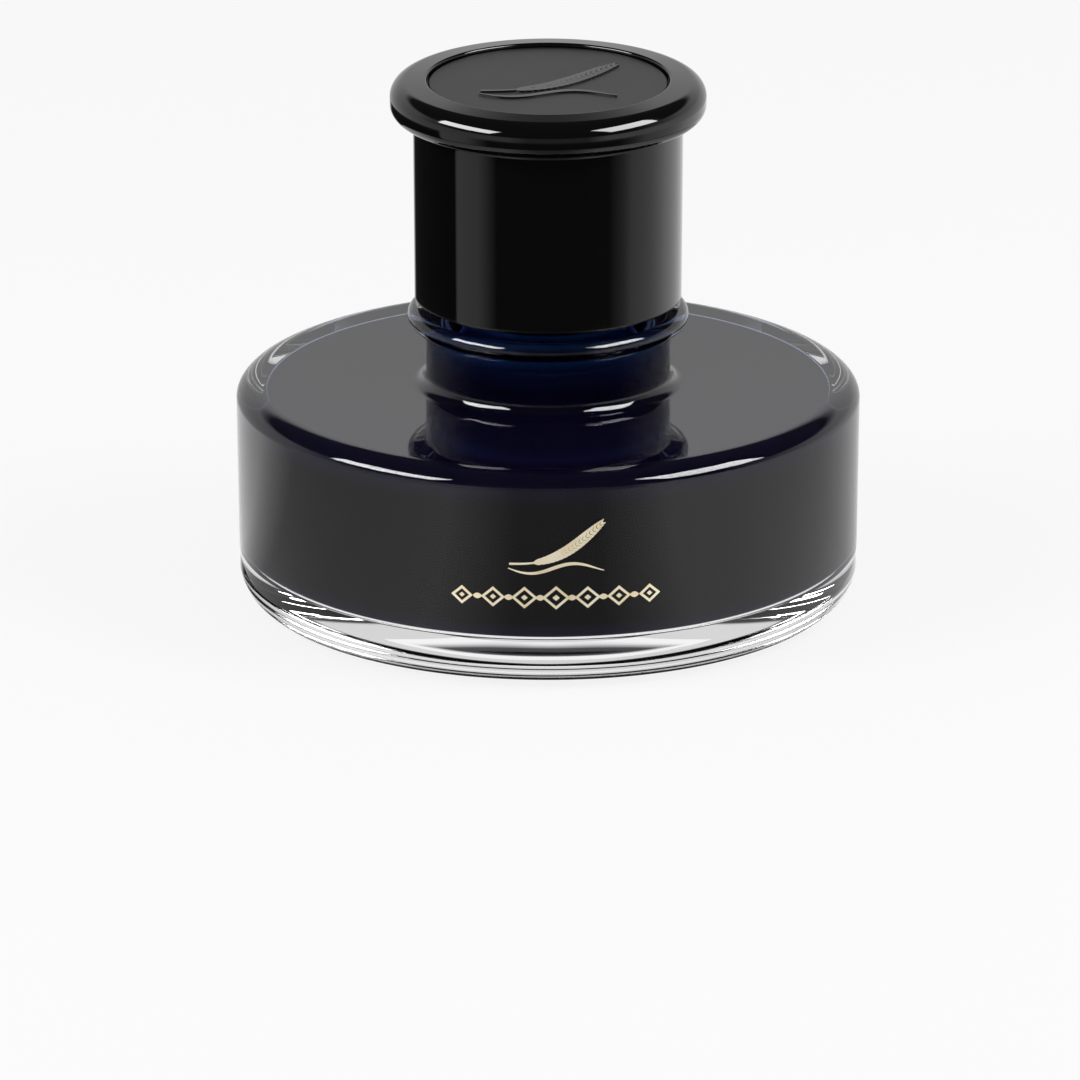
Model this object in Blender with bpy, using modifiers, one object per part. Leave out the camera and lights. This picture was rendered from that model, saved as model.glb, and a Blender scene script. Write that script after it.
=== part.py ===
"""A round glass ink bottle with a tall flanged screw cap.

Run it with: blender --background --python part.py

+Z is up, the origin is the centre of the foot on the surface that it stands on, and -Y is the
front, where the printed emblem is. Every length below is in millimetres, and the meshes are
made in metres. The cap is drawn screwed home.
"""

import math

import bmesh
import bpy
from mathutils import Matrix

MM = 0.001
SEGMENTS = 48  # flats round each turned piece
CLEARANCE = 0.2  # between pieces that touch on the real object
SHARP_EDGE = math.radians(35)

# Glass: the round body
BODY_RADIUS = 35.0
FOOT_RADIUS = 34.7  # the wall leans in by this little at its foot
FOOT_CORNER = 4.2
STANDING_RING_INNER = 26.5
PUNT_HEIGHT = 1.4
SHOULDER_EDGE_Z = 25.2
SHOULDER_EDGE_WIDTH = 2.8
SHOULDER_EDGE_DROP = 1.9
WALL = 3.1
BASE = 4.7
ROOF = 2.4
FLOOR_CORNER = 3.2
ROOF_CORNER = 1.8

# Glass: the neck, its bead and the threaded finish
NECK_RADIUS = 13.7
NECK_FOOT_Z = 25.1  # the shoulder falls by this little from its edge to the neck
NECK_FILLET = 1.5
BEAD_RADIUS = 15.75
BEAD_Z = 33.0
BEAD_ROUND = 1.1
FINISH_RADIUS = 10.85
FINISH_FOOT_Z = 34.2
MOUTH_Z = 45.2
BORE_RADIUS = 9.0
LIP_ROUND = 0.5
FLARE_RADIUS = 11.0  # the bore's width where it opens into the body
FLARE_Z = 26.3
FLARE_ROUND = 3.5

# Screw thread, right-handed, one start, eight to the inch
PITCH = 3.175
THREAD_TURNS = 1.3
THREAD_TOP_Z = 42.8
GLASS_RIDGE_RADIUS = 1.0
GLASS_RIDGE_CENTRE = 11.0
CLOSURE_RIDGE_RADIUS = 0.9
RIDGE_POINTS = 30  # to each turn
RIDGE_FADE = 0.08  # turns over which each end of a ridge fades out

# Ink
INK_GAP = 0.3
INK_TOP_Z = 36.5

# Cap: the outer shell, its flange and the disc let into its top
CAP_RADIUS = 15.0
CAP_TOP_RADIUS = 15.15
CAP_FOOT_Z = 35.1
CAP_BORE = 13.8
SNAP_BEAD_BORE = 13.35
FLANGE_RADIUS = 17.75
FLANGE_FOOT_Z = 56.15
FLANGE_FOOT_ROUND = 1.55
FLANGE_TOP_Z = 60.3
FLANGE_TOP_ROUND = 1.9
RING_TOP_Z = 60.5
DISC_RADIUS = 13.4
DISC_TOP_Z = 60.1
DISC_THICKNESS = 1.1
RECESS_RADIUS = 13.6
CROWN_THICKNESS = 1.3
RIB_THICKNESS = 1.0
RIB_COUNT = 3  # each crosses the whole cap

# Cap: the threaded closure inside it, and the two layers of its liner
CLOSURE_RADIUS = 13.5
CLOSURE_BORE = 12.45
CLOSURE_FOOT_Z = 36.0
CLOSURE_PANEL = 1.2
SEAL_RADIUS = 11.9
SEAL_THICKNESS = 0.6
PLUG_RADIUS = 8.8
PLUG_BORE = 7.6
PLUG_DEPTH = 2.7
WAD_RADIUS = 12.1
WAD_THICKNESS = 0.9

# Gold print on the front of the glass, and the raised quill on the cap's disc
PRINT_GAP = 0.05
PRINT_THICKNESS = 0.15
PRINT_OFFSET_X = 0.9  # it sits this far to the right of the middle
QUILL_Z = 16.6
QUILL_LENGTH = 11.0
BORDER_Z = 10.85
BORDER_LENGTH = 23.6
BORDER_STEPS = 20
DISC_QUILL_LENGTH = 16.0
DISC_QUILL_STRETCH = 1.4  # across the quill, so that it reads from a low angle
DISC_QUILL_HEIGHT = 0.3


# ---------------------------------------------------------------- outlines, as (radius, z) pairs


def arc(centre_r, centre_z, radius, start, end, steps):
    """Points on a circle, from the angle start to end in degrees, 0 being outwards and 90 up."""
    angles = [math.radians(start + (end - start) * i / steps) for i in range(steps + 1)]
    return [(centre_r + radius * math.cos(a), centre_z + radius * math.sin(a)) for a in angles]


def shoulder_edge(steps):
    """The rounding from the shoulder to the wall, wider than it is deep."""
    angles = [math.pi / 2 * (1 - i / steps) for i in range(steps + 1)]
    return [
        (
            BODY_RADIUS - SHOULDER_EDGE_WIDTH * (1 - math.cos(a)),
            SHOULDER_EDGE_Z - SHOULDER_EDGE_DROP * (1 - math.sin(a)),
        )
        for a in angles
    ]


def cavity(gap):
    """The inside of the glass from the middle of its floor to the foot of its bore, drawn in by gap."""
    wall = BODY_RADIUS - WALL - gap
    floor = BASE + gap
    roof = SHOULDER_EDGE_Z - ROOF - gap
    flare_centre = FLARE_RADIUS + FLARE_ROUND
    return [
        (0, floor + 0.4),
        (wall * 0.55, floor + 0.25),
        *arc(wall - FLOOR_CORNER, floor + FLOOR_CORNER, FLOOR_CORNER, -90, 0, 4),
        *arc(wall - ROOF_CORNER, roof - ROOF_CORNER, ROOF_CORNER, 0, 85, 4),
        *arc(flare_centre, FLARE_Z, FLARE_ROUND + gap, 265, 180, 4),
        (BORE_RADIUS + 1.2 - gap, 29.6),
        (BORE_RADIUS + 0.35 - gap, INK_TOP_Z),
    ]


def bottle_outline():
    inside = [
        *cavity(0),
        (BORE_RADIUS, 37.5),
        (BORE_RADIUS, MOUTH_Z - 0.3),
        (BORE_RADIUS + 0.3, MOUTH_Z),
    ]
    finish = [
        *arc(FINISH_RADIUS - LIP_ROUND, MOUTH_Z - LIP_ROUND, LIP_ROUND, 90, 0, 2),
        (FINISH_RADIUS, FINISH_FOOT_Z + 0.5),
        (FINISH_RADIUS + 0.5, FINISH_FOOT_Z),
    ]
    bead = arc(BEAD_RADIUS - BEAD_ROUND, BEAD_Z, BEAD_ROUND, 90, -80, 6)
    fillet_centre = NECK_RADIUS + NECK_FILLET
    neck = [
        (NECK_RADIUS, BEAD_Z - BEAD_ROUND - 0.5),
        *arc(fillet_centre, NECK_FOOT_Z + NECK_FILLET, NECK_FILLET, 180, 270, 4),
    ]
    foot = [
        *arc(FOOT_RADIUS - FOOT_CORNER, FOOT_CORNER, FOOT_CORNER, 0, -90, 5),
        (STANDING_RING_INNER, 0),
        (STANDING_RING_INNER - 3, PUNT_HEIGHT * 0.7),
        (0, PUNT_HEIGHT),
    ]
    return inside + finish + bead + neck + shoulder_edge(6) + foot


def ink_outline():
    top = cavity(INK_GAP)
    return [(0, INK_TOP_Z), *reversed(top)]


def shell_outline():
    recess_floor = DISC_TOP_Z - DISC_THICKNESS - CLEARANCE
    upper = FLANGE_TOP_ROUND
    lower = FLANGE_FOOT_ROUND
    under_crown = recess_floor - CROWN_THICKNESS
    return [
        (0, recess_floor),
        (RECESS_RADIUS, recess_floor),
        (RECESS_RADIUS, RING_TOP_Z - 0.25),
        (RECESS_RADIUS + 0.3, RING_TOP_Z),
        *arc(FLANGE_RADIUS - upper, FLANGE_TOP_Z - upper, upper, 84, 0, 4),
        *arc(FLANGE_RADIUS - lower, FLANGE_FOOT_Z + lower, lower, 0, -80, 4),
        (CAP_TOP_RADIUS + 0.7, FLANGE_FOOT_Z),
        (CAP_TOP_RADIUS, FLANGE_FOOT_Z - 0.7),
        (CAP_RADIUS, CAP_FOOT_Z + 0.3),
        (CAP_RADIUS - 0.3, CAP_FOOT_Z),
        (SNAP_BEAD_BORE + 0.2, CAP_FOOT_Z),
        (SNAP_BEAD_BORE, CAP_FOOT_Z + 0.25),
        (CAP_BORE, CAP_FOOT_Z + 0.6),
        (CAP_BORE, under_crown),
        (0, under_crown),
    ]


def disc_outline():
    foot = DISC_TOP_Z - DISC_THICKNESS
    return [
        (0, DISC_TOP_Z),
        (DISC_RADIUS - 0.2, DISC_TOP_Z),
        (DISC_RADIUS, DISC_TOP_Z - 0.2),
        (DISC_RADIUS, foot),
        (0, foot),
    ]


def seal_foot_z():
    return MOUTH_Z + CLEARANCE


def wad_foot_z():
    return seal_foot_z() + SEAL_THICKNESS + CLEARANCE


def panel_foot_z():
    return wad_foot_z() + WAD_THICKNESS + CLEARANCE


def closure_outline():
    top = panel_foot_z() + CLOSURE_PANEL
    return [
        (0, top),
        (CLOSURE_RADIUS - 0.6, top),
        (CLOSURE_RADIUS, top - 0.6),
        (CLOSURE_RADIUS, CLOSURE_FOOT_Z),
        (CLOSURE_BORE + 0.3, CLOSURE_FOOT_Z),
        (CLOSURE_BORE, CLOSURE_FOOT_Z + 0.4),
        (CLOSURE_BORE, panel_foot_z()),
        (0, panel_foot_z()),
    ]


def wad_outline():
    foot = wad_foot_z()
    return [(0, foot + WAD_THICKNESS), (WAD_RADIUS, foot + WAD_THICKNESS), (WAD_RADIUS, foot), (0, foot)]


def seal_outline():
    foot = seal_foot_z()
    plug_tip = MOUTH_Z - PLUG_DEPTH
    return [
        (0, foot + SEAL_THICKNESS),
        (SEAL_RADIUS, foot + SEAL_THICKNESS),
        (SEAL_RADIUS, foot),
        (PLUG_RADIUS, foot),
        (PLUG_RADIUS, plug_tip + 0.9),
        (PLUG_RADIUS - 0.5, plug_tip),
        (PLUG_BORE + 0.2, plug_tip),
        (PLUG_BORE, plug_tip + 0.4),
        (PLUG_BORE, foot),
        (0, foot),
    ]


def print_band_outline(low, high):
    """The section of a thin band that hugs the leaning wall between two heights."""

    def wall_radius(z):
        share = (z - FOOT_CORNER) / (SHOULDER_EDGE_Z - SHOULDER_EDGE_DROP - FOOT_CORNER)
        return FOOT_RADIUS + (BODY_RADIUS - FOOT_RADIUS) * share

    inner = PRINT_GAP
    outer = PRINT_GAP + PRINT_THICKNESS
    return [
        (wall_radius(high) + outer, high),
        (wall_radius(low) + outer, low),
        (wall_radius(low) + inner, low),
        (wall_radius(high) + inner, high),
    ]


# ---------------------------------------------------------------- ornaments, as flat outlines


def stroke(centre_line, half_width, steps):
    """The outline of a brush stroke: half_width(t) to each side of centre_line(t), t from 0 to 1."""
    left, right = [], []
    for i in range(steps + 1):
        t = i / steps
        x, y = centre_line(t)
        ahead = centre_line(min(t + 0.01, 1))
        behind = centre_line(max(t - 0.01, 0))
        dx, dy = ahead[0] - behind[0], ahead[1] - behind[1]
        length = math.hypot(dx, dy)
        w = half_width(t)
        left.append((x - dy / length * w, y + dx / length * w))
        right.append((x + dy / length * w, y - dx / length * w))
    return left + right[::-1]


def quill_line(t):
    """From the tip of the nib at the lower left to the tip of the feather at the upper right."""
    return (t - 0.5) * 0.92, 0.42 * t - 0.16 - 0.13 * math.sin(math.pi * t)


def quill_half_width(t):
    """A thin shaft that swells into a vane with notched barbs."""
    if t < 0.24:
        return 0.008 + 0.02 * t / 0.24
    along = (t - 0.24) / 0.76
    vane = 0.115 * math.sin(math.pi * min(along + 0.04, 1)) ** 0.55
    notch = 1 - 0.28 * ((along * 5) % 1)
    return max(0.01, vane * notch)


def flourish_line(t):
    """A line of writing that starts under the nib and waves away to the right."""
    return -0.47 + 0.94 * t, -0.205 - 0.05 * math.sin(2.2 * math.pi * t)


def flourish_half_width(t):
    return 0.007 + 0.014 * math.sin(math.pi * t)


def border_line(t):
    return t - 0.5, 0.0


def border_half_width(t):
    """A thin rule with seven lozenges strung along it, smaller towards the ends."""
    from_middle = abs(round(BORDER_STEPS * t) - BORDER_STEPS // 2)
    if from_middle % 3:
        return 0.008
    return 0.050 - 0.002 * from_middle


# ---------------------------------------------------------------- making objects


def clear_scene():
    for obj in list(bpy.data.objects):
        bpy.data.objects.remove(obj)


def new_collection(name):
    found = bpy.data.collections.new(name)
    bpy.context.scene.collection.children.link(found)
    return found


def new_material(name, colour, roughness, metallic=0.0, transmission=0.0):
    made = bpy.data.materials.new(name)
    made.use_nodes = True
    shader = made.node_tree.nodes["Principled BSDF"]
    shader.inputs["Base Color"].default_value = (*colour, 1)
    shader.inputs["Roughness"].default_value = roughness
    shader.inputs["Metallic"].default_value = metallic
    shader.inputs["Transmission Weight"].default_value = transmission
    made.diffuse_color = (*colour, 1)
    return made


def new_object(name, data, collection):
    obj = bpy.data.objects.new(name, data)
    collection.objects.link(obj)
    return obj


def as_helper(obj):
    obj.hide_render = True
    obj.display_type = "WIRE"
    return obj


def settled(obj):
    """Turns the object, with its modifiers, into one plain welded mesh that is shaded by angle."""
    bpy.context.view_layer.update()
    graph = bpy.context.evaluated_depsgraph_get()
    mesh = bpy.data.meshes.new_from_object(obj.evaluated_get(graph))
    shape = bmesh.new()
    shape.from_mesh(mesh)
    bmesh.ops.remove_doubles(shape, verts=shape.verts, dist=0.002 * MM)
    shape.to_mesh(mesh)
    shape.free()
    mesh.shade_smooth()
    mesh.set_sharp_from_angle(angle=SHARP_EDGE)
    if obj.type == "MESH":
        obj.modifiers.clear()
        obj.data = mesh
        return obj
    made = new_object(obj.name + "_mesh", mesh, obj.users_collection[0])
    made.matrix_world = obj.matrix_world
    bpy.data.objects.remove(obj)
    return made


def turned(name, outline, collection, closed=False):
    """A solid of revolution about Z. The outline runs down the outside, from the top."""
    mesh = bpy.data.meshes.new(name)
    count = len(outline)
    edges = [(i, i + 1) for i in range(count - 1)]
    if closed:
        edges.append((count - 1, 0))
    mesh.from_pydata([(r * MM, 0, z * MM) for r, z in outline], edges, [])
    obj = new_object(name, mesh, collection)
    screw = obj.modifiers.new("Turn", "SCREW")
    screw.axis = "Z"
    screw.steps = SEGMENTS
    screw.render_steps = SEGMENTS
    screw.use_merge_vertices = True
    screw.merge_threshold = 0.002 * MM
    return settled(obj)


def plate(name, outline, length, thickness, collection):
    """A flat plate in the XY plane. The outline is for a length of 1."""
    curve = bpy.data.curves.new(name, "CURVE")
    curve.dimensions = "2D"
    curve.fill_mode = "BOTH"
    curve.extrude = thickness / 2 * MM
    spline = curve.splines.new("POLY")
    spline.points.add(len(outline) - 1)
    spline.use_cyclic_u = True
    for point, (x, y) in zip(spline.points, outline):
        point.co = (x * length * MM, y * length * MM, 0, 1)
    return settled(new_object(name, curve, collection))


def ridge(name, centre_radius, tube_radius, top_z, collection):
    """A helical ridge of round section that fades out at both ends."""
    curve = bpy.data.curves.new(name, "CURVE")
    curve.dimensions = "3D"
    curve.bevel_depth = tube_radius * MM
    curve.bevel_resolution = 2
    curve.use_fill_caps = True
    count = round(THREAD_TURNS * RIDGE_POINTS)
    spline = curve.splines.new("POLY")
    spline.points.add(count)
    for i, point in enumerate(spline.points):
        turns_down = THREAD_TURNS * i / count
        angle = -math.tau * turns_down
        x = centre_radius * math.cos(angle)
        y = centre_radius * math.sin(angle)
        z = top_z - PITCH * turns_down
        point.co = (x * MM, y * MM, z * MM, 1)
        to_end = min(turns_down, THREAD_TURNS - turns_down)
        point.radius = 0.35 + 0.65 * min(to_end / RIDGE_FADE, 1)
    return as_helper(settled(new_object(name, curve, collection)))


def combine(obj, operation, tool):
    boolean = obj.modifiers.new(operation.title(), "BOOLEAN")
    boolean.operation = operation
    boolean.object = tool
    boolean.solver = "EXACT"


# ---------------------------------------------------------------- the pieces


def make_glass_bottle(parts, helpers):
    bottle = turned("glass_bottle", bottle_outline(), parts)
    thread = ridge("glass_thread", GLASS_RIDGE_CENTRE, GLASS_RIDGE_RADIUS, THREAD_TOP_Z, helpers)
    combine(bottle, "UNION", thread)
    return settled(bottle)


def make_closure(parts, helpers):
    closure = turned("inner_closure", closure_outline(), parts)
    top_z = THREAD_TOP_Z - PITCH / 2
    thread = ridge("closure_thread", CLOSURE_BORE, CLOSURE_RIDGE_RADIUS, top_z, helpers)
    combine(closure, "UNION", thread)
    return settled(closure)


def make_shell(parts, helpers):
    """The shell has ribs under its crown that stand on the closure's panel."""
    shell = turned("cap_shell", shell_outline(), parts)
    under_crown = DISC_TOP_Z - DISC_THICKNESS - CLEARANCE - CROWN_THICKNESS
    top = under_crown + CROWN_THICKNESS / 2
    foot = panel_foot_z() + CLOSURE_PANEL + CLEARANCE
    length = CAP_BORE + CAP_RADIUS  # each end stops halfway through the wall
    for i in range(RIB_COUNT):
        bpy.ops.mesh.primitive_cube_add(size=1)
        rib = bpy.context.object
        rib.name = f"crown_rib_{i + 1}"
        rib.scale = (length * MM, RIB_THICKNESS * MM, (top - foot) * MM)
        rib.location = (0, 0, (top + foot) / 2 * MM)
        rib.rotation_euler = (0, 0, math.pi * i / RIB_COUNT)
        for held in rib.users_collection:
            held.objects.unlink(rib)
        helpers.objects.link(as_helper(rib))
        combine(shell, "UNION", rib)
    return settled(shell)


def make_disc(parts, helpers):
    """The disc let into the cap's top, with a raised quill and its line of writing."""
    disc = turned("cap_top_disc", disc_outline(), parts)
    for name, line, half_width, steps in (
        ("disc_quill", quill_line, quill_half_width, 40),
        ("disc_flourish", flourish_line, flourish_half_width, 16),
    ):
        outline = stroke(line, half_width, steps)
        shape = plate(name, outline, DISC_QUILL_LENGTH, 2 * DISC_QUILL_HEIGHT, helpers)
        shape.location = (0, 0, DISC_TOP_Z * MM)
        shape.scale = (1, DISC_QUILL_STRETCH, 1)
        combine(disc, "UNION", as_helper(shape))
    return settled(disc)


def make_print(name, ornaments, centre_z, length, band, parts, helpers):
    """A film of gold on the wall: the ornament's outline, cut out of a band that hugs the glass."""
    film = turned(name, print_band_outline(*band), parts, closed=True)
    stamp = None
    for part_name, line, half_width, steps in ornaments:
        shape = plate(part_name, stroke(line, half_width, steps), length, 8, helpers)
        upright = Matrix.Rotation(math.pi / 2, 4, "X")
        place = Matrix.Translation((PRINT_OFFSET_X * MM, -BODY_RADIUS * MM, centre_z * MM))
        shape.matrix_world = place @ upright
        as_helper(shape)
        if stamp is None:
            stamp = shape
        else:
            combine(stamp, "UNION", shape)
    combine(film, "INTERSECT", settled(stamp))
    return settled(film)


def main():
    clear_scene()
    parts = new_collection("ink_bottle")
    helpers = new_collection("helpers")

    glass = new_material("clear_glass", (0.95, 0.97, 0.97), 0.02, transmission=1.0)
    ink = new_material("blue_black_ink", (0.008, 0.010, 0.060), 0.15)
    black = new_material("gloss_black_plastic", (0.012, 0.012, 0.013), 0.12)
    satin = new_material("satin_black_plastic", (0.030, 0.030, 0.032), 0.35)
    closure_black = new_material("black_polypropylene", (0.020, 0.020, 0.021), 0.40)
    white = new_material("natural_polyethylene", (0.80, 0.80, 0.78), 0.45)
    foam = new_material("liner_foam", (0.85, 0.85, 0.83), 0.80)
    gold = new_material("gold_print", (0.85, 0.66, 0.36), 0.30, metallic=1.0)

    made = {
        glass: [make_glass_bottle(parts, helpers)],
        ink: [turned("ink_fill", ink_outline(), parts)],
        black: [make_shell(parts, helpers)],
        satin: [make_disc(parts, helpers)],
        closure_black: [make_closure(parts, helpers)],
        white: [turned("seal_liner", seal_outline(), parts)],
        foam: [turned("liner_wad", wad_outline(), parts)],
        gold: [
            make_print(
                "quill_print",
                (
                    ("quill", quill_line, quill_half_width, 40),
                    ("flourish", flourish_line, flourish_half_width, 16),
                ),
                QUILL_Z,
                QUILL_LENGTH,
                (QUILL_Z - 6, QUILL_Z + 6),
                parts,
                helpers,
            ),
            make_print(
                "border_print",
                (("border", border_line, border_half_width, BORDER_STEPS),),
                BORDER_Z,
                BORDER_LENGTH,
                (BORDER_Z - 3, BORDER_Z + 3),
                parts,
                helpers,
            ),
        ],
    }
    for finish, objects in made.items():
        for obj in objects:
            obj.data.materials.clear()
            obj.data.materials.append(finish)


main()
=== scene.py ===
"""The looks of the round glass ink bottle: fine turned pieces, materials, light and camera.

Lengths named below are in millimetres, but for the studio's, and the meshes are made in metres, in the
CAD's frame: +Z up, the foot on z = 0, and the printed front towards -Y.
"""

import math

import bmesh
import bpy
from mathutils import Euler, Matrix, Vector


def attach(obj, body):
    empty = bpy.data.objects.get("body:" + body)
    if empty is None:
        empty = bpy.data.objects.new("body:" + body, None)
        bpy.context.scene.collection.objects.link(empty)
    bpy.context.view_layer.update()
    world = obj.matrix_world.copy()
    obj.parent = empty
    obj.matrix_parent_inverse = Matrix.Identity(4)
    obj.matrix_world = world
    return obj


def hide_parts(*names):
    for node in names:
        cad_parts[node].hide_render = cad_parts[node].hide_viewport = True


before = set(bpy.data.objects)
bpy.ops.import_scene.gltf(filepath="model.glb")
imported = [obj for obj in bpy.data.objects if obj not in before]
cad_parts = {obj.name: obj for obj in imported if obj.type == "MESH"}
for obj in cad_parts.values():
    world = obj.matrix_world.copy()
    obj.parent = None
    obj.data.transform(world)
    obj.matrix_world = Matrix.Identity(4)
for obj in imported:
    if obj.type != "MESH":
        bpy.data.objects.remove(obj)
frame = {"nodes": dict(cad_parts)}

MM = 0.001
SEGMENTS = 320  # flats round each turned piece
LONG_STRETCH = 1.0  # a stretch of outline longer than this is kept flat in the shading
FLAT_INSET = 0.03
SHARP_EDGE = math.radians(40)

# Glass: the round body
BODY_RADIUS = 35.0
FOOT_RADIUS = 34.7
FOOT_CORNER = 4.2
STANDING_RING_INNER = 26.5
PUNT_HEIGHT = 1.4
SHOULDER_EDGE_Z = 25.2
SHOULDER_EDGE_WIDTH = 2.8
SHOULDER_EDGE_DROP = 1.9
WALL = 3.1
BASE = 4.7
ROOF = 2.4
FLOOR_CORNER = 3.2
ROOF_CORNER = 1.8

# Glass: the neck, its bead and the threaded finish
NECK_RADIUS = 13.7
NECK_FOOT_Z = 25.1
NECK_FILLET = 1.5
BEAD_RADIUS = 15.75
BEAD_Z = 33.0
BEAD_ROUND = 1.1
FINISH_RADIUS = 10.85
FINISH_FOOT_Z = 34.2
MOUTH_Z = 45.2
BORE_RADIUS = 9.0
LIP_ROUND = 0.5
FLARE_RADIUS = 11.0
FLARE_Z = 26.3
FLARE_ROUND = 3.5

# Screw thread on the glass
PITCH = 3.175
THREAD_TURNS = 1.3
THREAD_TOP_Z = 42.8
RIDGE_HEIGHT = 1.15
RIDGE_HALF_WIDTH = 1.0
RIDGE_FADE = 0.08

# Glass: painted shade, a near-black zone at the outer edge of its foot that stands in for the shadowed dark
# rim there, as (start, end) of each fade
PAINTED_SHADE_FOOT_HEIGHTS = (0.9, 1.4)
PAINTED_SHADE_FOOT_RADII = (30.8, 31.4)

# Ink
INK_OVERLAP = 0.03  # into the glass that it wets
INK_TOP_Z = 36.5
MENISCUS = 0.5
INK_TO_GLASS = 1.34 / 1.5  # the ratio of their refractive indices
INK_RAMP_TOP = 40.0  # the height at the end of the ink's two ramps
MIRROR_START = 0.10  # a smaller Fresnel share isn't drawn as a mirror

# Cap
CAP_RADIUS = 15.0
CAP_TOP_RADIUS = 15.15
CAP_FOOT_Z = 35.1
CAP_BORE = 13.8
SNAP_BEAD_BORE = 13.35
FLANGE_RADIUS = 17.75
FLANGE_FOOT_Z = 56.15
FLANGE_FOOT_ROUND = 1.55
FLANGE_TOP_Z = 60.3
FLANGE_TOP_ROUND = 1.9
RING_TOP_Z = 60.5
DISC_RADIUS = 13.4
DISC_TOP_Z = 60.1
DISC_THICKNESS = 1.1
RECESS_RADIUS = 13.6
CROWN_FLOOR_Z = 58.8
CROWN_THICKNESS = 1.3

# Gold print and the raised quill on the cap
PRINT_LIFT = 0.05
PRINT_THICKNESS = 0.04
PRINT_OFFSET_X = 0.9
QUILL_Z = 16.6
QUILL_LENGTH = 11.4
BORDER_Z = 10.85
BORDER_LENGTH = 23.6
DISC_QUILL_LENGTH = 16.4
DISC_QUILL_STRETCH = 1.45  # across the quill, so that it reads from a low angle
DISC_QUILL_HEIGHT = 0.22
DISC_QUILL_SINK = 0.05
BARB_COUNT = 20  # on each side of a quill
LOZENGE_COUNT = 7
LOZENGE_SPACING = 0.15  # as a share of the border's length
RIBBON_STEP = 0.0004  # from one stroke to the next, so that crossing faces don't coincide

# Studio, in metres
FLOOR_HALF = 6.0
FLOOR_Z = -0.0002
GLOW_INNER = 0.040
GLOW_OUTER = 0.112
GLOW_STEPS = 96
GLOW_Z = 0.0001
SOFTBOX_DISTANCE = 0.6
SOFTBOX_TARGET_Z = 0.03
SOFTBOXES = (  # name, azimuth and elevation in degrees, width, height, radiance
    ("left_softbox", -66, 34, 0.46, 0.20, 17),
    ("right_softbox", 70, 43, 0.42, 0.26, 15),
)

# Brightness by direction, as (turn, level) stops. The turn is 0.25 towards the camera, 0.5 to the
# right, 0.75 behind, and 0 or 1 to the left.
MIRROR_LOW = [
    (0.000, 0.01),
    (0.009, 0.01),
    (0.013, 0.64),
    (0.075, 0.60),
    (0.125, 0.03),
    (0.400, 0.03),
    (0.440, 0.30),
    (0.463, 0.62),
    (0.525, 0.78),
    (0.583, 1.10),
    (0.770, 1.10),
    (0.806, 0.02),
    (1.000, 0.01),
]
MIRROR_LEVEL = [
    (0.00, 0.60),
    (0.17, 0.60),
    (0.21, 0.26),
    (0.33, 0.26),
    (0.37, 0.90),
    (0.50, 0.95),
    (1.00, 0.60),
]
MIRROR_HIGH = [
    (0.00, 0.30),
    (0.06, 0.03),
    (0.44, 0.03),
    (0.50, 0.35),
    (0.56, 0.69),
    (0.94, 0.69),
    (1.00, 0.30),
]
TABLE_GLOW = [
    (0.000, 0.50),
    (0.165, 0.80),
    (0.225, 0.28),
    (0.290, 0.28),
    (0.325, 0.60),
    (0.355, 0.95),
    (0.440, 0.93),
    (0.530, 0.75),
    (0.630, 0.80),
    (0.800, 0.84),
    (0.940, 1.00),
    (1.000, 0.50),
]

# The rest of the studio's brightness
BACKDROP = 0.973
MIRROR_CEILING = (0.03, 0.03, 0.03, 1)
MIRROR_FLOOR = (0.02, 0.02, 0.02, 1)

# Camera
CAMERA_DISTANCE = 2500.0
CAMERA_ELEVATION = math.radians(17.6)
TARGET_Z = 29.0  # the point on the bottle's axis that the camera is placed from
TARGET_RISE = 21.661  # how far above the middle of the frame that point is seen
TARGET_RIGHT = 0.954  # and how far to the right of it
FRAME_WIDTH = 121.212  # what the frame spans at the target
SENSOR = 36.0


# ---------------------------------------------------------------- outlines, as (radius, z) pairs


def arc(centre_r, centre_z, radius, start, end, steps):
    """Points on a circle, from the angle start to end in degrees, 0 being outwards and 90 up."""
    angles = [math.radians(start + (end - start) * i / steps) for i in range(steps + 1)]
    return [(centre_r + radius * math.cos(a), centre_z + radius * math.sin(a)) for a in angles]


def line(start, end, steps):
    """Evenly spaced points from start to just before end."""
    return [
        (start[0] + (end[0] - start[0]) * i / steps, start[1] + (end[1] - start[1]) * i / steps)
        for i in range(steps)
    ]


def shoulder_edge(steps):
    """The rounding from the shoulder to the wall, wider than it is deep."""
    angles = [math.pi / 2 * (1 - i / steps) for i in range(steps + 1)]
    return [
        (
            BODY_RADIUS - SHOULDER_EDGE_WIDTH * (1 - math.cos(a)),
            SHOULDER_EDGE_Z - SHOULDER_EDGE_DROP * (1 - math.sin(a)),
        )
        for a in angles
    ]


def cavity(gap):
    """The inside of the glass from the middle of its floor to the foot of its bore, drawn in by gap."""
    wall = BODY_RADIUS - WALL - gap
    floor = BASE + gap
    roof = SHOULDER_EDGE_Z - ROOF - gap
    flare_centre = FLARE_RADIUS + FLARE_ROUND
    return [
        *line((0, floor + 0.4), (wall * 0.55, floor + 0.25), 3),
        *line((wall * 0.55, floor + 0.25), (wall - FLOOR_CORNER, floor), 4),
        *arc(wall - FLOOR_CORNER, floor + FLOOR_CORNER, FLOOR_CORNER, -90, 0, 16),
        *arc(wall - ROOF_CORNER, roof - ROOF_CORNER, ROOF_CORNER, 0, 85, 14),
        *arc(flare_centre, FLARE_Z, FLARE_ROUND + gap, 265, 180, 14),
        (BORE_RADIUS + 1.2 - gap, 29.6),
        (BORE_RADIUS + 0.35 - gap, INK_TOP_Z),
    ]


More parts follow.
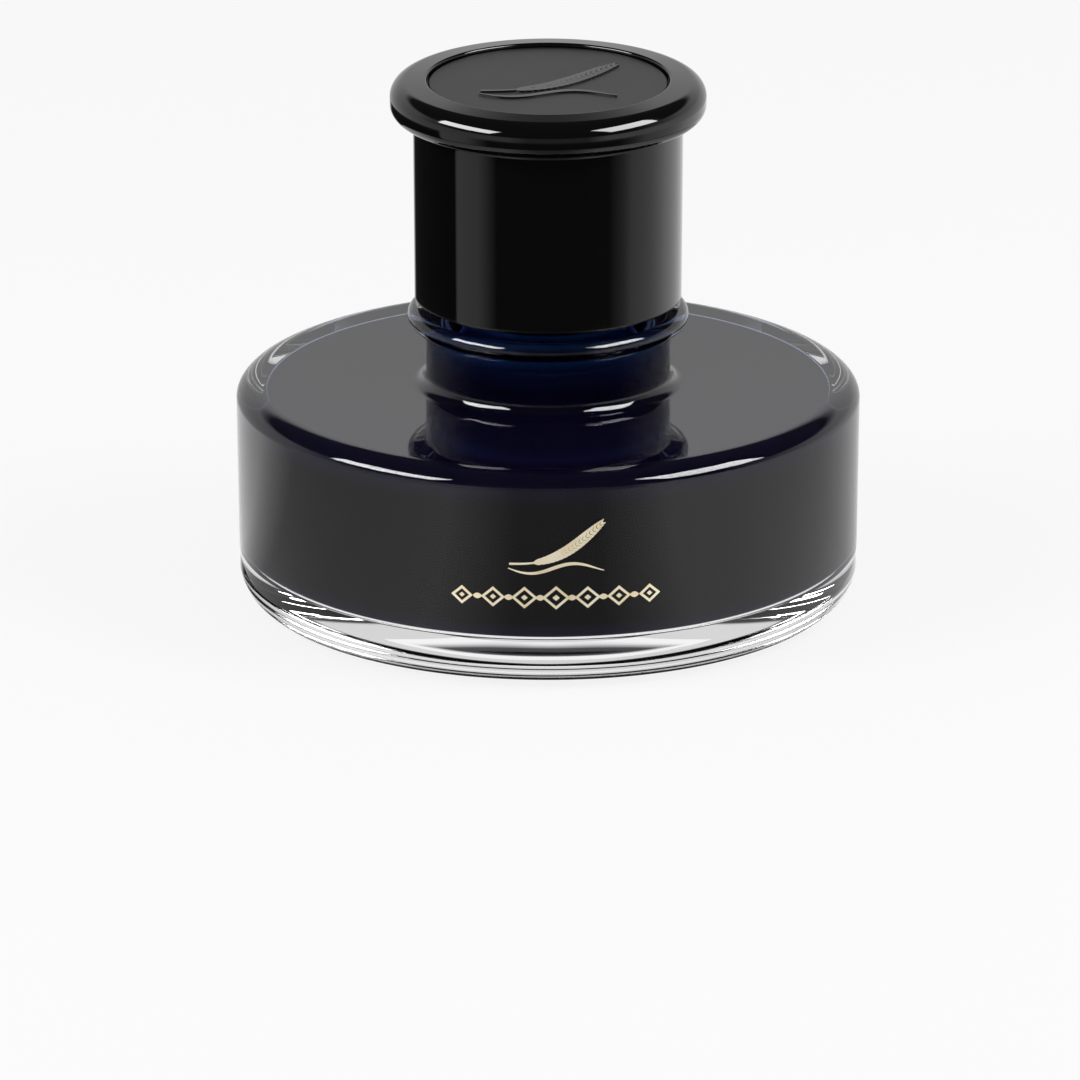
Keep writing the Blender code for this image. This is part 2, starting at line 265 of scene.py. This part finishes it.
def glass_outline():
    inside = [
        *cavity(0),
        (BORE_RADIUS, 37.5),
        (BORE_RADIUS, MOUTH_Z - 0.4),
        (BORE_RADIUS + 0.12, MOUTH_Z - 0.12),
        (BORE_RADIUS + 0.4, MOUTH_Z),
    ]
    finish = [
        *arc(FINISH_RADIUS - LIP_ROUND, MOUTH_Z - LIP_ROUND, LIP_ROUND, 90, 0, 6),
        *line((FINISH_RADIUS, MOUTH_Z - 0.7), (FINISH_RADIUS, FINISH_FOOT_Z + 0.6), 60),
        *arc(FINISH_RADIUS + 0.6, FINISH_FOOT_Z + 0.6, 0.6, 180, 270, 6),
    ]
    bead = arc(BEAD_RADIUS - BEAD_ROUND, BEAD_Z, BEAD_ROUND, 90, -75, 24)
    fillet_centre = NECK_RADIUS + NECK_FILLET
    neck = [
        (NECK_RADIUS + 0.12, BEAD_Z - BEAD_ROUND - 0.25),
        (NECK_RADIUS, BEAD_Z - BEAD_ROUND - 0.7),
        *arc(fillet_centre, NECK_FOOT_Z + NECK_FILLET, NECK_FILLET, 180, 270, 16),
    ]
    foot = [
        *arc(FOOT_RADIUS - FOOT_CORNER, FOOT_CORNER, FOOT_CORNER, 0, -90, 32),
        (STANDING_RING_INNER, 0),
        *arc(STANDING_RING_INNER - 1.6, -0.9, 1.6, 35, 85, 8),
        (14.0, PUNT_HEIGHT - 0.15),
        (0, PUNT_HEIGHT),
    ]
    return inside + finish + bead + neck + shoulder_edge(32) + foot


def ink_outline():
    """The ink climbs the glass a little at its edge."""
    wetted = cavity(-INK_OVERLAP)
    edge = wetted[-1][0]
    shares = (0, 0.2, 0.4, 0.6, 0.8, 0.9)
    surface = [(edge * (1 - (1 - t) ** 2), INK_TOP_Z - MENISCUS * (1 - t**5)) for t in shares]
    return [*surface, *reversed(wetted)]


def shell_outline():
    upper = FLANGE_TOP_ROUND
    lower = FLANGE_FOOT_ROUND
    under_crown = CROWN_FLOOR_Z - CROWN_THICKNESS
    return [
        (0, CROWN_FLOOR_Z),
        (RECESS_RADIUS, CROWN_FLOOR_Z),
        (RECESS_RADIUS, RING_TOP_Z - 0.3),
        *arc(RECESS_RADIUS + 0.25, RING_TOP_Z - 0.25, 0.25, 180, 90, 5),
        *arc(FLANGE_RADIUS - upper, FLANGE_TOP_Z - upper, upper, 84, 0, 20),
        *arc(FLANGE_RADIUS - lower, FLANGE_FOOT_Z + lower, lower, 0, -88, 16),
        *arc(CAP_TOP_RADIUS + 0.6, FLANGE_FOOT_Z - 0.6, 0.6, 90, 180, 6),
        *line((CAP_TOP_RADIUS, FLANGE_FOOT_Z - 0.8), (CAP_RADIUS, CAP_FOOT_Z + 0.3), 8),
        *arc(CAP_RADIUS - 0.3, CAP_FOOT_Z + 0.3, 0.3, 0, -90, 5),
        (SNAP_BEAD_BORE + 0.2, CAP_FOOT_Z),
        *arc(SNAP_BEAD_BORE + 0.2, CAP_FOOT_Z + 0.2, 0.2, 270, 180, 3),
        (CAP_BORE, CAP_FOOT_Z + 0.6),
        (CAP_BORE, under_crown),
        (0, under_crown),
    ]


def disc_outline():
    foot = DISC_TOP_Z - DISC_THICKNESS
    return [
        (0, DISC_TOP_Z),
        (DISC_RADIUS - 0.25, DISC_TOP_Z),
        *arc(DISC_RADIUS - 0.2, DISC_TOP_Z - 0.2, 0.2, 90, 0, 4),
        (DISC_RADIUS, foot),
        (0, foot),
    ]


# ---------------------------------------------------------------- making meshes


def with_flats(outline):
    """Adds a point close to each end of every long stretch, so that smooth shading stays flat along it."""
    points = [outline[0]]
    for a, b in zip(outline, outline[1:]):
        length = math.dist(a, b)
        if length > LONG_STRETCH:
            share = FLAT_INSET / length
            for t in (share, 1 - share):
                points.append((a[0] + (b[0] - a[0]) * t, a[1] + (b[1] - a[1]) * t))
        points.append(b)
    return points


def new_object(name, mesh, body, node=None):
    obj = bpy.data.objects.new(name, mesh)
    bpy.context.scene.collection.objects.link(obj)
    if node:
        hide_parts(node)
    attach(obj, body)
    return obj


def turned(name, outline, reshape=None):
    """A closed surface of revolution from an outline that starts and ends on the axis.

    reshape(radius, z, angle) may move the points that aren't on the axis.
    """
    shape = bmesh.new()
    rings = []
    for r, z in with_flats(outline):
        if r < 1e-6:
            rings.append([shape.verts.new((0, 0, z * MM))])
            continue
        ring = []
        for i in range(SEGMENTS):
            angle = math.tau * i / SEGMENTS
            nr, nz = reshape(r, z, angle) if reshape else (r, z)
            ring.append(shape.verts.new((nr * math.cos(angle) * MM, nr * math.sin(angle) * MM, nz * MM)))
        rings.append(ring)
    for upper, lower in zip(rings, rings[1:]):
        for i in range(SEGMENTS):
            j = (i + 1) % SEGMENTS
            near = (upper[i % len(upper)], lower[i % len(lower)])
            far = (lower[j % len(lower)], upper[j % len(upper)])
            shape.faces.new(list(dict.fromkeys(near + far)))
    bmesh.ops.recalc_face_normals(shape, faces=shape.faces)
    mesh = bpy.data.meshes.new(name)
    shape.to_mesh(mesh)
    shape.free()
    mesh.shade_smooth()
    mesh.set_sharp_from_angle(angle=SHARP_EDGE)
    return mesh


def glass_thread(r, z, angle):
    """Raises the screw ridge on the finish's outer wall."""
    if abs(r - FINISH_RADIUS) > 0.01 or not FINISH_FOOT_Z + 0.6 < z < MOUTH_Z - 0.6:
        return r, z
    height = 0.0
    for whole in range(3):
        turns_down = whole + (1 - angle / math.tau) % 1
        if turns_down > THREAD_TURNS:
            continue
        off = abs(z - (THREAD_TOP_Z - PITCH * turns_down)) / RIDGE_HALF_WIDTH
        fade = min(turns_down, THREAD_TURNS - turns_down) / RIDGE_FADE
        if off < 1:
            height = max(height, math.sqrt(1 - off * off) * (0.25 + 0.75 * min(fade, 1)))
    return r + RIDGE_HEIGHT * height, z


# ---------------------------------------------------------------- ornaments


def stroke(centre_line, half_width, steps):
    """Pairs of points either side of centre_line(t), half_width(t) away, for t from 0 to 1."""
    pairs = []
    for i in range(steps + 1):
        t = i / steps
        x, y = centre_line(t)
        ahead = centre_line(min(t + 0.01, 1))
        behind = centre_line(max(t - 0.01, 0))
        dx, dy = ahead[0] - behind[0], ahead[1] - behind[1]
        length = math.hypot(dx, dy)
        across, up = dy / length * half_width(t), dx / length * half_width(t)
        pairs.append(((x - across, y + up), (x + across, y - up)))
    return pairs


def quill_shaft(t):
    """From the tip of the nib at the lower left to the tip of the feather at the upper right."""
    return (t - 0.5) * 0.92, 0.42 * t - 0.16 - 0.13 * math.sin(math.pi * t)


def barb(at, side, length):
    """A barb that leaves the shaft at t = at, swept towards the tip."""
    x, y = quill_shaft(at)
    ahead = quill_shaft(min(at + 0.02, 1))
    along = math.atan2(ahead[1] - y, ahead[0] - x)

    def centre_line(t):
        turn = along + side * (0.75 - 0.35 * t)
        return x + length * t * math.cos(turn), y + length * t * math.sin(turn)

    return stroke(centre_line, lambda t: 0.0105 * (1 - t) ** 0.5 + 0.001, 6)


def quill_strokes():
    """The shaft, its barbs, and a waving line of writing under the nib."""
    strokes = [stroke(quill_shaft, lambda t: 0.010 * (1 - 0.75 * t) + 0.001, 28)]
    for i in range(BARB_COUNT):
        at = 0.27 + 0.71 * i / (BARB_COUNT - 1)
        swell = math.sin(math.pi * min(1, (at - 0.17) / 0.86)) ** 0.6
        strokes.append(barb(at, 1, 0.155 * swell))
        strokes.append(barb(at, -1, 0.125 * swell))
    strokes.append(
        stroke(
            lambda t: (-0.47 + 0.94 * t, -0.205 - 0.05 * math.sin(2.2 * math.pi * t)),
            lambda t: 0.004 + 0.013 * math.sin(math.pi * t),
            40,
        )
    )
    return strokes


def lozenge(at, half_length, half_height, band):
    """An open lozenge whose band is that wide."""
    corners = [(1, 0), (0, 1), (-1, 0), (0, -1), (1, 0)]
    inner = 1 - band / half_height
    pairs = []
    for a, b in zip(corners, corners[1:]):
        for i in range(4):
            x = a[0] + (b[0] - a[0]) * i / 4
            y = a[1] + (b[1] - a[1]) * i / 4
            outer_point = (at + x * half_length, y * half_height)
            inner_point = (at + x * inner * half_length, y * inner * half_height)
            pairs.append((outer_point, inner_point))
    pairs.append(pairs[0])
    return pairs


def border_strokes():
    """Open lozenges with filled ones inside them, smaller towards the ends, and a bead between each two."""
    strokes = []
    middle = (LOZENGE_COUNT - 1) / 2
    for i in range(LOZENGE_COUNT):
        at = (i - middle) * LOZENGE_SPACING
        size = 0.058 - 0.004 * abs(i - middle)
        strokes.append(lozenge(at, 1.15 * size, size, 0.016))
        strokes.append(lozenge(at, 0.30 * size, 0.26 * size, 0.25 * size))
    for i in range(LOZENGE_COUNT - 1):
        at = (i + 0.5 - middle) * LOZENGE_SPACING

        def bead_line(t, at=at):
            return at - 0.020 + 0.04 * t, 0

        strokes.append(stroke(bead_line, lambda t: 0.004 + 0.010 * math.sin(math.pi * t), 8))
    return strokes


def ribbon_mesh(name, strokes, place, thickness):
    """Strips of thin solid along the strokes. place(x, y, height) gives a point in metres."""
    shape = bmesh.new()
    for number, pairs in enumerate(strokes):
        lift = RIBBON_STEP * (number % 7)
        rows = []
        for left, right in pairs:
            rows.append(
                [
                    shape.verts.new(place(*left, lift)),
                    shape.verts.new(place(*left, lift + thickness)),
                    shape.verts.new(place(*right, lift + thickness)),
                    shape.verts.new(place(*right, lift)),
                ]
            )
        for a, b in zip(rows, rows[1:]):
            for k in range(4):
                shape.faces.new((a[k], a[(k + 1) % 4], b[(k + 1) % 4], b[k]))
        shape.faces.new(rows[0])
        shape.faces.new(rows[-1][::-1])
    bmesh.ops.recalc_face_normals(shape, faces=shape.faces)
    mesh = bpy.data.meshes.new(name)
    shape.to_mesh(mesh)
    shape.free()
    return mesh


def on_wall(centre_z, length):
    """Places an ornament's points on the front of the glass, just clear of it."""

    def place(x, y, height):
        z = centre_z + y * length
        share = (z - FOOT_CORNER) / (SHOULDER_EDGE_Z - SHOULDER_EDGE_DROP - FOOT_CORNER)
        wall = FOOT_RADIUS + (BODY_RADIUS - FOOT_RADIUS) * share
        angle = (PRINT_OFFSET_X + x * length) / BODY_RADIUS
        r = wall + PRINT_LIFT + height
        return r * math.sin(angle) * MM, -r * math.cos(angle) * MM, z * MM

    return place


def on_disc(x, y, height):
    """Places an ornament's points on the cap's disc, sunk a little into it."""
    across = y * DISC_QUILL_STRETCH
    z = DISC_TOP_Z - DISC_QUILL_SINK + height
    return x * DISC_QUILL_LENGTH * MM, across * DISC_QUILL_LENGTH * MM, z * MM


# ---------------------------------------------------------------- materials


class Nodes:
    """A short way to add nodes to a tree and link them."""

    def __init__(self, tree):
        self.tree = tree

    def add(self, kind, settings=(), inputs=()):
        node = self.tree.nodes.new(kind)
        for name, value in dict(settings).items():
            setattr(node, name, value)
        for name, value in dict(inputs).items():
            if isinstance(value, bpy.types.NodeSocket):
                self.tree.links.new(value, node.inputs[name])
            else:
                node.inputs[name].default_value = value
        return node

    def ramp(self, factor, stops, interpolation="LINEAR"):
        """A colour ramp over (position, grey or colour) stops."""
        node = self.add("ShaderNodeValToRGB", inputs={"Fac": factor})
        ramp = node.color_ramp
        ramp.interpolation = interpolation
        while len(ramp.elements) > 1:
            ramp.elements.remove(ramp.elements[-1])
        for i, (position, value) in enumerate(stops):
            element = ramp.elements[0] if i == 0 else ramp.elements.new(position)
            element.position = position
            colour = (value,) * 3 if isinstance(value, (int, float)) else value
            element.color = (*colour, 1)
        return node.outputs["Color"]

    def noise(self, vector, scale, detail=2.0, roughness=0.5):
        node = self.add(
            "ShaderNodeTexNoise",
            inputs={"Vector": vector, "Scale": scale, "Detail": detail, "Roughness": roughness},
        )
        return node.outputs["Fac"]

    def between(self, factor, low, high):
        """The factor, 0 to 1, mapped to low to high."""
        node = self.add(
            "ShaderNodeMapRange",
            inputs={"Value": factor, "To Min": low, "To Max": high},
        )
        return node.outputs["Result"]

    def share(self, value, start, end):
        """How far the value has gone from start to end, 0 to 1."""
        node = self.add("ShaderNodeMapRange", inputs={"Value": value, "From Min": start, "From Max": end})
        return node.outputs["Result"]

    def mix(self, factor, low, high):
        """The colour low where the factor is 0, and high where it is 1."""
        node = self.add("ShaderNodeMix", {"data_type": "RGBA"}, {"Factor": factor, 6: low, 7: high})
        return node.outputs[2]

    def bump(self, height, distance, strength):
        inputs = {"Height": height, "Distance": distance * MM, "Strength": strength}
        return self.add("ShaderNodeBump", inputs=inputs).outputs["Normal"]


def new_material(name):
    """(material, its Nodes, its Principled shader, object coordinates)"""
    made = bpy.data.materials.new(name)
    made.use_nodes = True
    nodes = Nodes(made.node_tree)
    shader = made.node_tree.nodes["Principled BSDF"]
    where = nodes.add("ShaderNodeTexCoord").outputs["Object"]
    return made, nodes, shader, where


def feed(nodes, shader, **inputs):
    """Links or sets the shader's inputs, with _ for each space in a name."""
    for name, value in inputs.items():
        socket = shader.inputs[name.replace("_", " ")]
        if isinstance(value, bpy.types.NodeSocket):
            nodes.tree.links.new(value, socket)
        else:
            socket.default_value = value


def glass_material():
    """Clear moulded glass with the slow ripple that moulding leaves, and painted shade round its foot,
    where its colour turns near black.
    """
    made, nodes, shader, where = new_material("clear_glass")
    ripple = nodes.noise(where, 38, 0.0)
    # Painted shade: low on the foot and near its outer edge, the glass is coloured near black as if
    # shadowed.
    parts = nodes.add("ShaderNodeSeparateXYZ", inputs={"Vector": where}).outputs
    above = nodes.share(parts["Z"], PAINTED_SHADE_FOOT_HEIGHTS[0] * MM, PAINTED_SHADE_FOOT_HEIGHTS[1] * MM)
    flat = nodes.add("ShaderNodeCombineXYZ", inputs={"X": parts["X"], "Y": parts["Y"]}).outputs["Vector"]
    radius = nodes.add("ShaderNodeVectorMath", {"operation": "LENGTH"}, {0: flat}).outputs["Value"]
    inside = nodes.share(radius, PAINTED_SHADE_FOOT_RADII[1] * MM, PAINTED_SHADE_FOOT_RADII[0] * MM)
    clear = nodes.add("ShaderNodeMath", {"operation": "MAXIMUM"}, {0: above, 1: inside}).outputs["Value"]
    feed(
        nodes,
        shader,
        Base_Color=nodes.ramp(clear, [(0.0, (0.008, 0.008, 0.010)), (1.0, (1.0, 1.0, 1.0))]),
        Roughness=0.0,
        IOR=1.5,
        Transmission_Weight=1.0,
        Normal=nodes.bump(ripple, 0.20, 0.06),
    )
    return made


def ink_material():
    """Blue-black ink, near black, with painted light in bands by height: a blue glow near its floor, at the
    roof corner and in the neck under the bead, as if light came through it there.

    It is seen through the glass that it wets. Light in glass that meets ink at a low angle is
    mirrored whole, so the share that Fresnel's law gives for that boundary is drawn as a mirror.
    Real ink wouldn't colour that mirror: its share is painted reflection, darkened and blued at mid heights
    and left white low down and near the top. The tints by height are painted light, there for the look.
    """
    made, nodes, shader, where = new_material("blue_ink")
    height = nodes.add("ShaderNodeSeparateXYZ", inputs={"Vector": where}).outputs["Z"]
    up = nodes.share(height, 0.0, INK_RAMP_TOP * MM)
    # Painted light: near-black ink with blue bands near its floor, at the roof corner and under the bead,
    # standing in for light coming through it.
    colour = nodes.ramp(
        up,
        [
            (0.125, (0.012, 0.010, 0.035)),
            (0.180, (0.0010, 0.0010, 0.0022)),
            (0.520, (0.0010, 0.0010, 0.0022)),
            (0.570, (0.0030, 0.0024, 0.0110)),
            (0.680, (0.0008, 0.0008, 0.0070)),
            (0.740, (0.0010, 0.0030, 0.0170)),
            (0.775, (0.0030, 0.0160, 0.0600)),
            (0.795, (0.0008, 0.0010, 0.0060)),
            (1.000, (0.0006, 0.0006, 0.0010)),
        ],
    )
    fresnel = nodes.add("ShaderNodeFresnel", inputs={"IOR": INK_TO_GLASS}).outputs["Fac"]
    mirror = nodes.share(fresnel, MIRROR_START, 1.0)
    # Painted reflection: the mirror share is darkened and blued at mid heights and left white low down and
    # near the top.
    painted_mirror_tint = nodes.ramp(
        up,
        [
            (0.20, (1.0, 1.0, 1.0)),
            (0.40, (0.10, 0.15, 0.28)),
            (0.60, (0.10, 0.15, 0.28)),
            (0.65, (0.05, 0.08, 0.30)),
            (0.78, (0.05, 0.08, 0.30)),
            (0.82, (1.0, 1.0, 1.0)),
        ],
    )
    seen = nodes.mix(mirror, colour, painted_mirror_tint)
    feed(nodes, shader, Base_Color=seen, Metallic=mirror, Roughness=0.0, Specular_IOR_Level=0.0)
    return made


def gloss_plastic():
    """Polished black plastic with faint handling marks."""
    made, nodes, shader, where = new_material("gloss_black_plastic")
    haze = nodes.noise(where, 120, 3.0)
    grain = nodes.noise(where, 1600, 2.0)
    feed(
        nodes,
        shader,
        Base_Color=(0.0010, 0.0010, 0.0011, 1),
        Roughness=nodes.between(haze, 0.03, 0.085),
        IOR=1.5,
        Normal=nodes.bump(grain, 0.004, 0.2),
    )
    return made


def satin_plastic():
    """The disc's fine spark-eroded satin."""
    made, nodes, shader, where = new_material("satin_black_plastic")
    cloud = nodes.noise(where, 150, 3.0)
    grain = nodes.noise(where, 5200, 2.0, 0.6)
    feed(
        nodes,
        shader,
        Base_Color=nodes.ramp(cloud, [(0.3, 0.0035), (0.7, 0.0050)]),
        Roughness=nodes.between(cloud, 0.36, 0.44),
        IOR=1.46,
        Normal=nodes.bump(grain, 0.03, 0.3),
    )
    return made


def gold_material():
    """Hot-stamped pale gold film, a little uneven."""
    made, nodes, shader, where = new_material("gold_print")
    patch = nodes.noise(where, 420, 3.0)
    grain = nodes.noise(where, 4200, 2.0)
    feed(
        nodes,
        shader,
        Base_Color=nodes.ramp(patch, [(0.35, (0.93, 0.77, 0.50)), (0.65, (1.0, 0.92, 0.72))]),
        Metallic=0.75,
        Roughness=nodes.between(patch, 0.38, 0.52),
        Normal=nodes.bump(grain, 0.01, 0.3),
    )
    return made


def moulded_material(name, dark, light, roughness, grain_scale):
    """Plain moulded plastic or board with a fine grain."""
    made, nodes, shader, where = new_material(name)
    cloud = nodes.noise(where, 180, 3.0)
    grain = nodes.noise(where, grain_scale, 3.0, 0.6)
    feed(
        nodes,
        shader,
        Base_Color=nodes.ramp(cloud, [(0.3, dark), (0.7, light)]),
        Roughness=nodes.between(cloud, roughness - 0.06, roughness + 0.06),
        Normal=nodes.bump(grain, 0.03, 0.35),
    )
    return made


def grey(value):
    return value, value, value, 1


def paint(obj, material):
    obj.data.materials.clear()
    obj.data.materials.append(material)


# ---------------------------------------------------------------- the pieces


def make_bottle():
    glass_mesh = turned("fine_glass", glass_outline(), glass_thread)
    glass = new_object("fine_glass", glass_mesh, "bottle", "glass_bottle")
    paint(glass, glass_material())
    ink = new_object("fine_ink", turned("fine_ink", ink_outline()), "bottle", "ink_fill")
    paint(ink, ink_material())
    gold = gold_material()
    for name, strokes, place, node in (
        ("fine_quill", quill_strokes(), on_wall(QUILL_Z, QUILL_LENGTH), "quill_print"),
        ("fine_border", border_strokes(), on_wall(BORDER_Z, BORDER_LENGTH), "border_print"),
    ):
        mesh = ribbon_mesh(name, strokes, place, PRINT_THICKNESS)
        paint(new_object(name, mesh, "bottle", node), gold)


def make_cap():
    shell_mesh = turned("fine_shell", shell_outline())
    shell = new_object("fine_shell", shell_mesh, "cap", "cap_shell")
    gloss = gloss_plastic()
    paint(shell, gloss)
    disc_mesh = turned("fine_disc", disc_outline())
    disc = new_object("fine_disc", disc_mesh, "cap", "cap_top_disc")
    paint(disc, satin_plastic())
    quill = new_object(
        "disc_quill",
        ribbon_mesh("disc_quill", quill_strokes(), on_disc, DISC_QUILL_HEIGHT),
        "cap",
    )
    paint(quill, gloss)


def finish_hidden_parts(nodes):
    paint(
        nodes["inner_closure"],
        moulded_material("black_polypropylene", (0.012,) * 3, (0.020,) * 3, 0.42, 2600),
    )
    paint(
        nodes["seal_liner"],
        moulded_material("natural_polyethylene", (0.70, 0.70, 0.68), (0.80, 0.80, 0.78), 0.45, 2200),
    )
    paint(
        nodes["liner_wad"],
        moulded_material("liner_board", (0.74, 0.73, 0.70), (0.86, 0.85, 0.82), 0.80, 1500),
    )


# ---------------------------------------------------------------- studio


def mirrored_studio(nodes, around, up):
    """What mirror-like surfaces see, from the dark floor below up to the dark ceiling."""
    high = nodes.ramp(around, MIRROR_HIGH)
    level = nodes.ramp(around, MIRROR_LEVEL)
    low = nodes.ramp(around, MIRROR_LOW)
    with_ceiling = nodes.mix(nodes.ramp(up, [(0.70, 0.0), (0.74, 1.0)]), high, MIRROR_CEILING)
    upper = nodes.mix(nodes.ramp(up, [(0.55, 0.0), (0.60, 1.0)]), level, with_ceiling)
    lower = nodes.mix(nodes.ramp(up, [(0.25, 0.0), (0.29, 1.0)]), MIRROR_FLOOR, low)
    return nodes.mix(nodes.ramp(up, [(0.36, 0.0), (0.37, 1.0)]), lower, upper)


def make_world():
    """A white studio. Mirrors see its dark sides and pale backdrop, and glass shows it darker overhead."""
    world = bpy.data.worlds.new("studio")
    world.use_nodes = True
    bpy.context.scene.world = world
    tree = world.node_tree
    tree.nodes.clear()
    nodes = Nodes(tree)
    direction = nodes.add("ShaderNodeTexCoord").outputs["Generated"]
    height = nodes.add("ShaderNodeSeparateXYZ", inputs={"Vector": direction}).outputs["Z"]
    gradient = nodes.add("ShaderNodeTexGradient", {"gradient_type": "RADIAL"}, {"Vector": direction})
    up = nodes.share(height, -1.0, 1.0)
    mirrored = mirrored_studio(nodes, gradient.outputs["Fac"], up)
    through = nodes.ramp(up, [(0.70, BACKDROP), (0.85, 0.10)])
    path = nodes.add("ShaderNodeLightPath").outputs
    plain = nodes.mix(path["Is Diffuse Ray"], grey(BACKDROP), grey(0.75))
    beyond = nodes.mix(path["Is Transmission Ray"], plain, through)
    colour = nodes.mix(path["Is Glossy Ray"], beyond, mirrored)
    background = nodes.add("ShaderNodeBackground", inputs={"Color": colour, "Strength": 1.0})
    output = nodes.add("ShaderNodeOutputWorld")
    tree.links.new(background.outputs["Background"], output.inputs["Surface"])


def make_floor():
    """A pale floor that mirrors don't see. The table glow stands in for it there."""
    mesh = bpy.data.meshes.new("floor")
    half = FLOOR_HALF
    corners = [(-half, -half, 0), (half, -half, 0), (half, half, 0), (-half, half, 0)]
    mesh.from_pydata(corners, [], [(0, 1, 2, 3)])
    floor = bpy.data.objects.new("floor", mesh)
    bpy.context.scene.collection.objects.link(floor)
    floor.location.z = FLOOR_Z
    floor.visible_glossy = False
    made, nodes, shader, where = new_material("floor_white")
    paper = nodes.noise(where, 3, 1.0)
    feed(
        nodes,
        shader,
        Base_Color=(0.04, 0.04, 0.04, 1),
        Roughness=1.0,
        Specular_IOR_Level=0.0,
        Emission_Color=nodes.ramp(paper, [(0.0, (0.998, 0.995, 1.0)), (1.0, (1.0, 0.997, 1.002))]),
        Emission_Strength=0.87,
    )
    paint(floor, made)


def ring_mesh(name, inner, outer, steps):
    """A flat ring in the XY plane."""
    shape = bmesh.new()
    pairs = []
    for i in range(steps):
        angle = math.tau * i / steps
        c, s = math.cos(angle), math.sin(angle)
        pairs.append([shape.verts.new((radius * c, radius * s, 0)) for radius in (inner, outer)])
    for i in range(steps):
        a, b = pairs[i], pairs[(i + 1) % steps]
        shape.faces.new((a[0], a[1], b[1], b[0]))
    mesh = bpy.data.meshes.new(name)
    shape.to_mesh(mesh)
    shape.free()
    return mesh


def make_table_glow():
    """What the bottle's wall mirrors: the lit table round it, darker straight in front."""
    mesh = ring_mesh("table_glow", GLOW_INNER, GLOW_OUTER, GLOW_STEPS)
    glow = bpy.data.objects.new("table_glow", mesh)
    bpy.context.scene.collection.objects.link(glow)
    glow.location.z = GLOW_Z
    glow.visible_camera = False
    glow.visible_diffuse = False
    glow.visible_transmission = False
    glow.visible_shadow = False
    made, nodes, shader, where = new_material("table_glow")
    gradient = nodes.add("ShaderNodeTexGradient", {"gradient_type": "RADIAL"}, {"Vector": where})
    feed(
        nodes,
        shader,
        Base_Color=(0, 0, 0, 1),
        Specular_IOR_Level=0.0,
        Emission_Color=nodes.ramp(gradient.outputs["Fac"], TABLE_GLOW),
        Emission_Strength=1.0,
    )
    paint(glow, made)


def softbox(name, azimuth, elevation, width, height, radiance):
    """A rectangular light that faces the bottle. Azimuth 0 is the camera's side, positive to the right."""
    data = bpy.data.lights.new(name, "AREA")
    data.shape = "RECTANGLE"
    data.size, data.size_y = width, height
    data.energy = radiance * math.pi * width * height
    lamp = bpy.data.objects.new(name, data)
    bpy.context.scene.collection.objects.link(lamp)
    a, e = math.radians(azimuth), math.radians(elevation)
    away = Vector((math.sin(a) * math.cos(e), -math.cos(a) * math.cos(e), math.sin(e)))
    lamp.location = Vector((0, 0, SOFTBOX_TARGET_Z)) + away * SOFTBOX_DISTANCE
    lamp.rotation_euler = away.to_track_quat("Z", "Y").to_euler()
    lamp.visible_camera = False


def make_lights():
    for settings in SOFTBOXES:
        softbox(*settings)


def make_camera():
    data = bpy.data.cameras.new("camera")
    data.sensor_width = SENSOR
    data.lens = SENSOR * CAMERA_DISTANCE / FRAME_WIDTH
    data.clip_start = 0.01
    data.clip_end = 50
    camera = bpy.data.objects.new("camera", data)
    bpy.context.scene.collection.objects.link(camera)
    e = CAMERA_ELEVATION
    away = Vector((0, -math.cos(e), math.sin(e))) * CAMERA_DISTANCE * MM
    camera.location = Vector((0, 0, TARGET_Z * MM)) + away
    down = math.atan(TARGET_RISE / CAMERA_DISTANCE)
    left = math.atan(TARGET_RIGHT / CAMERA_DISTANCE)
    camera.rotation_euler = Euler((math.pi / 2 - e - down, 0, left))
    bpy.context.scene.camera = camera


def main():
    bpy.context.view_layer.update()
    bpy.context.scene.view_settings.view_transform = "Standard"
    make_camera()
    make_bottle()
    make_cap()
    finish_hidden_parts(frame["nodes"])
    make_world()
    make_floor()
    make_table_glow()
    make_lights()


main()
